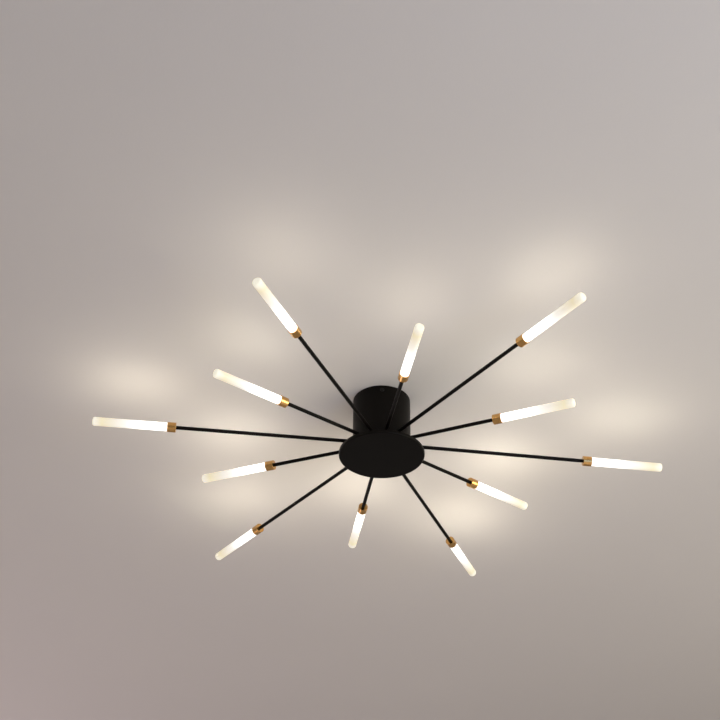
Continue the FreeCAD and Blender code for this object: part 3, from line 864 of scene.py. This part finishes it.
acrylic = Finish("acrylic_frosting", Roughness=0.45, Emission_Strength=tube_glow)
haze = acrylic.speckle(0.012)
acrylic.set(
    Base_Color=acrylic.between(haze, (0.50, 0.48, 0.43), (0.58, 0.56, 0.51)),
    Emission_Color=acrylic.node("ShaderNodeValToRGB", {
        "Fac": acrylic.along() / tube_end + (haze - 0.5) * 0.03}, stops=[
            (0.00, (0.45, 0.43, 0.38)),
            (0.13, (1.00, 0.98, 0.93)),
            (0.46, (1.00, 0.98, 0.93)),
            (0.54, (0.60, 0.585, 0.54)),
            (0.62, (0.44, 0.42, 0.38)),
            (0.88, (0.343, 0.288, 0.172)),
            (0.975, (0.42, 0.395, 0.315)),
            (1.00, (0.42, 0.395, 0.315)),
        ]),
)
acrylic.bump(acrylic.speckle(0.0006), depth=0.00002, strength=0.3)
acrylic.material.cycles.emission_sampling = "NONE"

tube_blank = lathe([
    (tube_start, tube_radius - tube_wall),
    (tube_start, tube_radius),
    (tube_end, tube_radius, tube_tip_round),
    (tube_end, 0, 0),
    (tube_end - tube_wall, 0, 0),
    (tube_end - tube_wall, tube_radius - tube_wall, tube_tip_round - tube_wall),
], tube_edge, steps=64)

# Two small lamps inside each tube throw its light on the ceiling and on what is made so far, straight through
# the tube. They are stronger on the far arms, whose light the ceiling's sheen carries to the camera.
lamp_power = 0.112
far_gain = 0.45
lamp_colour = (1.0, 0.93, 0.74)
lamp_distances = (0.055, 0.110)
lamp_radius = 0.004

lit = bpy.data.collections.new("lit_by_the_tubes")
for thing in bpy.context.scene.objects:
    if thing.type == "MESH":
        lit.objects.link(thing)

for number, arm in sorted(arms.items()):
    name = "light_tube_" + number
    piece(name + "_frosted", on_arms(tube_blank, acrylic, [number]), acrylic, name, "frosted_acrylic", name)
    for distance in lamp_distances:
        glow = in_scene("glow_" + number, bpy.data.lights.new("glow_" + number, "POINT"))
        glow.data.energy = lamp_power * (1 + far_gain * math.sin(arm["azimuth"]))
        glow.data.color = lamp_colour
        glow.data.shadow_soft_size = lamp_radius
        glow.visible_camera = False
        glow.light_linking.receiver_collection = lit
        glow.light_linking.blocker_collection = lit
        glow.location = arm["axis"] * (arm["reach"] + distance) + Vector((0, 0, -arm_drop))


# -------------------------------- Bulbs
# Two-pin capsule bulbs: a moulded white base with two tinned pins, and a column of small light chips set in
# clear silicone. They show when a light tube is pulled off.

bulb_start = 0.0121
bulb_base_radius = 0.005
bulb_base_length = 0.007
bulb_radius = 0.0047
bulb_length = 0.054
bulb_tip_round = 0.0045
pin_length = 0.0065
groove_start = 0.0025
groove_end = 0.0035
groove_depth = 0.0004
bulb_edge = 0.0002
pin_edge = 0.0001
chip_size = (0.0028, 0.0017, 0.0003)
chip_corner = 0.0003
chip_edge = 0.00008
chip_start = 0.00336
chip_rows = 11
chip_columns = 4
chip_pitch = 0.0038
chip_proud = 0.00015

silicone = Finish("clear_silicone", Roughness=0.18, Emission_Strength=0.5, Coat_Weight=0.4)
clouding = silicone.speckle(0.003)
silicone.set(
    Base_Color=silicone.between(clouding, (0.60, 0.52, 0.35), (0.70, 0.64, 0.50)),
    Emission_Color=silicone.between(clouding, (0.80, 0.68, 0.42), (0.95, 0.86, 0.62)),
)
silicone.bump(clouding, depth=0.00003, strength=0.3)
silicone.material.cycles.emission_sampling = "NONE"

phosphor = Finish("chip_phosphor", Roughness=0.4, Emission_Strength=1.3)
grainy = phosphor.speckle(0.0002)
phosphor.set(
    Base_Color=phosphor.between(grainy, (0.90, 0.72, 0.20), (0.96, 0.82, 0.35)),
    Emission_Color=phosphor.between(grainy, (1.0, 0.86, 0.55), (1.0, 0.93, 0.70)),
)
phosphor.material.cycles.emission_sampling = "NONE"

bulb_base = Finish("bulb_base_moulding")
is_pin = 1.0 - (bulb_base.along() > bulb_start - hair)
bulb_base.grain(0.0006, roughness=(0.30, 0.50), depth=0.00003, strength=0.3)
bulb_base.set(Base_Color=bulb_base.between(is_pin, (0.84, 0.83, 0.80), (0.66, 0.65, 0.62)), Metallic=is_pin)


def rounded_box(length, width, height, corner, edge, corner_steps=5):
    """A box on Z = 0, centred on X and Y, with rounded upright corners and softened edges."""
    shape = bmesh.new()
    bmesh.ops.create_cube(shape, size=1.0, matrix=Matrix.LocRotScale(
        Vector((0, 0, height / 2)), None, Vector((length, width, height))))
    upright = [line for line in shape.edges if abs(line.verts[0].co.z - line.verts[1].co.z) > height / 2]
    bmesh.ops.bevel(shape, geom=upright, offset=corner, segments=corner_steps, profile=0.5, affect="EDGES")
    level = [line for line in shape.edges if abs(line.verts[0].co.z - line.verts[1].co.z) < height / 2]
    bmesh.ops.bevel(shape, geom=level, offset=edge, segments=2, profile=0.5, affect="EDGES")
    return finished(shape, "box")


capsule_start = bulb_start + bulb_base_length
capsule_blank = lathe([
    (capsule_start, 0, 0),
    (capsule_start, bulb_radius),
    (bulb_start + bulb_length, bulb_radius, bulb_tip_round),
    (bulb_start + bulb_length, 0, 0),
], bulb_edge, steps=40)
base_blank = joined(lathe([
    (bulb_start, 0, 0),
    (bulb_start, bulb_base_radius),
    (bulb_start + groove_start, bulb_base_radius),
    (bulb_start + groove_start, bulb_base_radius - groove_depth),
    (bulb_start + groove_end, bulb_base_radius - groove_depth),
    (bulb_start + groove_end, bulb_base_radius),
    (capsule_start, bulb_base_radius),
    (capsule_start, 0, 0),
], bulb_edge, steps=40), *[
    rod(bulb_start - pin_length, bulb_start + pin_radius, pin_radius, pin_edge, place, steps=12)
    for place in pin_places])
chips = rows_round.run(Blank=rounded_box(*chip_size, chip_corner, chip_edge, corner_steps=1), Rows=chip_rows,
                       Columns=chip_columns, Core_Radius=bulb_radius + chip_proud - chip_size[2],
                       Start=capsule_start + chip_start, Row_Pitch=chip_pitch, First_Turn=0.0,
                       Row_Turn=math.pi / chip_columns)

for number in sorted(arms):
    name = "led_bulb_" + number
    capsule = on_arms(capsule_blank, silicone, [number])
    piece(name + "_capsule", capsule, silicone, name, "bulb_silicone", name)
    piece(name + "_base", on_arms(base_blank, bulb_base, [number]), bulb_base, name, "white_plastic")
    piece(name + "_chips", on_arms(chips, phosphor, [number]), phosphor, name, "bulb_silicone")


# -------------------------------- Power supply
# The white plastic case of the supply that feeds the twelve bulbs. It stands on the can's floor. Its lid is
# a separate moulding with a row of ribs.

driver_length = 0.056
driver_width = 0.030
driver_height = 0.017
driver_corner = 0.003
driver_edge = 0.0004
core_edge = 0.0002
lid_height = 0.0045
lid_edge = 0.0006
lid_reveal = 0.0003
reveal_depth = 0.0005
rib_size = (0.0012, 0.020, 0.0008)
rib_corner = 0.0004
rib_edge = 0.0002
rib_count = 9
rib_pitch = 0.0036

white_plastic = Finish("moulded_white", Specular_IOR_Level=0.45)
white_plastic.grain(0.0009, roughness=(0.38, 0.58), depth=0.00004, strength=0.5)
yellowing = white_plastic.speckle(0.05)
white_plastic.set(Base_Color=white_plastic.between(yellowing, (0.80, 0.795, 0.77), (0.84, 0.82, 0.76)))

# A straight row of copies of a blank along X, about the middle.
row_of = Recipe("row_of_copies", Blank="Object", Count="Int", Pitch="Float", Rise="Float")
row_half = (row_of.input("Count") - 1.0) * row_of.input("Pitch") / 2.0
row_of.ends_with(row_of.node("GeometryNodeInstanceOnPoints", {
    "Points": row_of.node("GeometryNodeMeshLine", {
        "Count": row_of.input("Count"),
        "Start Location": row_of.vector(0.0 - row_half, 0.0, row_of.input("Rise")),
        "Offset": row_of.vector(row_of.input("Pitch")),
    }),
    "Instance": row_of.blank(),
}))

lid_top = driver_height - rib_size[2] / 2
lid_bottom = driver_height - lid_height
case = rounded_box(driver_length, driver_width, lid_bottom - lid_reveal, driver_corner, driver_edge)
core = rounded_box(driver_length - 2 * reveal_depth, driver_width - 2 * reveal_depth,
                   lid_bottom + lid_height / 2, driver_corner - reveal_depth, core_edge)
lid = rounded_box(driver_length, driver_width, lid_top - lid_bottom, driver_corner, lid_edge)
lid.transform(Matrix.Translation((0, 0, lid_bottom)))
ribs = row_of.run(None, white_plastic, Blank=rounded_box(*rib_size, rib_corner, rib_edge, corner_steps=2),
                  Count=rib_count, Pitch=rib_pitch, Rise=driver_height - rib_size[2])
driver = joined(case, core, lid, ribs)
driver.transform(along_strip @ Matrix.Translation((0, 0, can_wall - can_depth)))
piece("led_driver_moulded", driver, white_plastic, "fixture", "white_plastic", "led_driver")


# -------------------------------- Lead cap
# The round cap on the supply where the twelve leads come together: a moulded ring with a recessed top, fine
# ribs round its side and a screw in the middle.

cap_radius = 0.012
cap_bottom = 0.0958
cap_top = 0.0855
cap_recess_radius = 0.0085
cap_recess_depth = 0.0012
cap_shoulder = 0.0008
cap_edge = 0.0003
cap_rib_size = (0.0086, 0.0007, 0.0008)
cap_rib_corner = 0.0002
cap_rib_count = 36
cap_rib_proud = 0.0004
cap_screw_radius = 0.0024
cap_screw_head = 0.0008
cap_screw_dome = 0.0006
fine_edge = 0.0001
cap_recess = {"Deep": 0.0006, "Wide": 0.0005, "Long": 0.0026}

cap_ring = lathe([
    (cap_top, cap_recess_radius),
    (cap_top, cap_radius - cap_rib_proud, cap_shoulder),
    (cap_bottom, cap_radius - cap_rib_proud),
    (cap_bottom, 0, 0),
    (cap_top + cap_recess_depth, 0, 0),
    (cap_top + cap_recess_depth, cap_recess_radius),
], cap_edge, down)
cap_rib = rounded_box(*cap_rib_size, cap_rib_corner, fine_edge, corner_steps=1)
cap_ribs = rows_round.run(None, white_plastic, Blank=cap_rib, Rows=1, Columns=cap_rib_count,
                          Core_Radius=cap_radius - cap_rib_size[2],
                          Start=(cap_bottom + cap_top) / 2, Row_Pitch=0.0, First_Turn=0.0, Row_Turn=0.0)
cap_ribs.transform(down)
piece("lead_connector_moulded", joined(cap_ring, cap_ribs), white_plastic, "fixture", "white_plastic",
      "lead_connector")

cap_screw = cross_head.run(lathe([
    (-cap_screw_head, 0, 0),
    (-cap_screw_head, cap_screw_radius),
    (cap_screw_head, cap_screw_radius, cap_screw_dome),
    (cap_screw_head, 0, 0),
], fine_edge, steps=40), zinc, Top=cap_screw_head, **cap_recess)
cap_screw.transform(Matrix.Translation((0, 0, -cap_top - cap_recess_depth)) @ down.inverted())
piece("lead_connector_screw", cap_screw, zinc, "fixture", "zinc_steel")


# -------------------------------- Leads in the arms
# Two copper leads in soft pale sheaths, side by side in each arm. They are drawn through the arm from the cap
# at the hub to the back of the socket.

lead_start = 0.0121
core_radius = 0.00052
core_spacing = 0.00108

sheath = Finish("soft_sheath")
matted = sheath.grain(0.0015, roughness=(0.28, 0.48), depth=0.00003, strength=0.3)
sheath.set(Base_Color=sheath.between(matted, (0.70, 0.69, 0.65), (0.80, 0.79, 0.75)))

pair_blank = joined(*[
    rod(lead_start, long_reach + cup_floor, core_radius, fine_edge,
        Matrix.Translation((0, side * core_spacing / 2, 0)), steps=14) for side in (-1, 1)])
leads = on_arms(pair_blank, sheath, from_cup=False, follows_past=arm_middle)
piece("arm_leads_sheathed", leads, sheath, "fixture", "lead_sheath", "arm_leads")


# -------------------------------- Terminal block
# The mains terminal block under the strip: moulded white, with three holes for the wires from side to side,
# and a clamping screw in each of the six wells in its underside.

terminal_length = 0.040
terminal_width = 0.017
terminal_height = 0.014
terminal_corner = 0.0012
terminal_edge = 0.0005
terminal_hole_radius = 0.0016
terminal_pitch = 0.009
well_radius = 0.0022
well_depth = 0.0035
well_spacing = 0.0085
clamp_radius = 0.0019
clamp_top = -0.0012
clamp_dome = 0.0004
clamp_recess = {"Deep": 0.0006, "Wide": 0.0005, "Long": 0.0024}

three_wires = {"Count": 3, "Pitch": terminal_pitch}
terminal_bottom = -strip_sheet - terminal_height
wire_drill = rod(-terminal_width, terminal_width, terminal_hole_radius, place=along_strip, steps=24)
terminal_drills = [row_of.run(Blank=wire_drill, Rise=terminal_bottom + terminal_height / 2, **three_wires)]
clamp_screws = []
for side in (-1, 1):
    well_place = Matrix.Translation((0, side * well_spacing / 2, 0)) @ down
    well = rod(-well_depth, well_depth, well_radius, place=well_place, steps=24)
    terminal_drills.append(row_of.run(Blank=well, Rise=terminal_bottom, **three_wires))
    clamp_screw = cross_head.run(lathe([
        (-well_depth, 0, 0),
        (-well_depth, clamp_radius),
        (clamp_top, clamp_radius, clamp_dome),
        (clamp_top, 0, 0),
    ], fine_edge, steps=32), Top=clamp_top, **clamp_recess)
    clamp_screw.transform(well_place)
    clamp_screws.append(row_of.run(None, zinc, Blank=clamp_screw, Rise=terminal_bottom, **three_wires))

terminal_box = rounded_box(terminal_length, terminal_width, terminal_height, terminal_corner, terminal_edge,
                           corner_steps=3)
terminal_box.transform(Matrix.Translation((0, 0, terminal_bottom)))
terminal = drilled.run(terminal_box, white_plastic, Blank=joined(*terminal_drills))
terminal.transform(along_strip)
piece("terminal_block_moulded", terminal, white_plastic, "fixture", "white_plastic", "terminal_block")
screws = joined(*clamp_screws)
screws.transform(along_strip)
piece("terminal_block_screws", screws, zinc, "fixture", "zinc_steel")


# -------------------------------- Mains lead
# A short sheathed lead, pulled straight from the underside of the terminal block down to the supply, with
# a sleeve where it goes in.

mains_radius = 0.002
mains_distance = 0.0165
mains_turn = math.radians(82.5)
sleeve_length = 0.006
sleeve_thickness = 0.0002

mains_place = Matrix.Rotation(mains_turn, 4, "Z") @ Matrix.Translation((mains_distance, 0, 0)) @ down
mains_end = can_depth - can_wall - driver_height
sheath_radius = mains_radius - sleeve_thickness
mains = joined(
    rod(-terminal_bottom, mains_end, sheath_radius, sleeve_thickness, mains_place, steps=28),
    lathe([
        (mains_end - sleeve_length, sheath_radius - sleeve_thickness),
        (mains_end - sleeve_length, mains_radius),
        (mains_end, mains_radius),
        (mains_end, sheath_radius - sleeve_thickness),
    ], fine_edge, mains_place, steps=28),
)
piece("mains_lead_sheathed", mains, sheath, "fixture", "lead_sheath", "mains_lead")
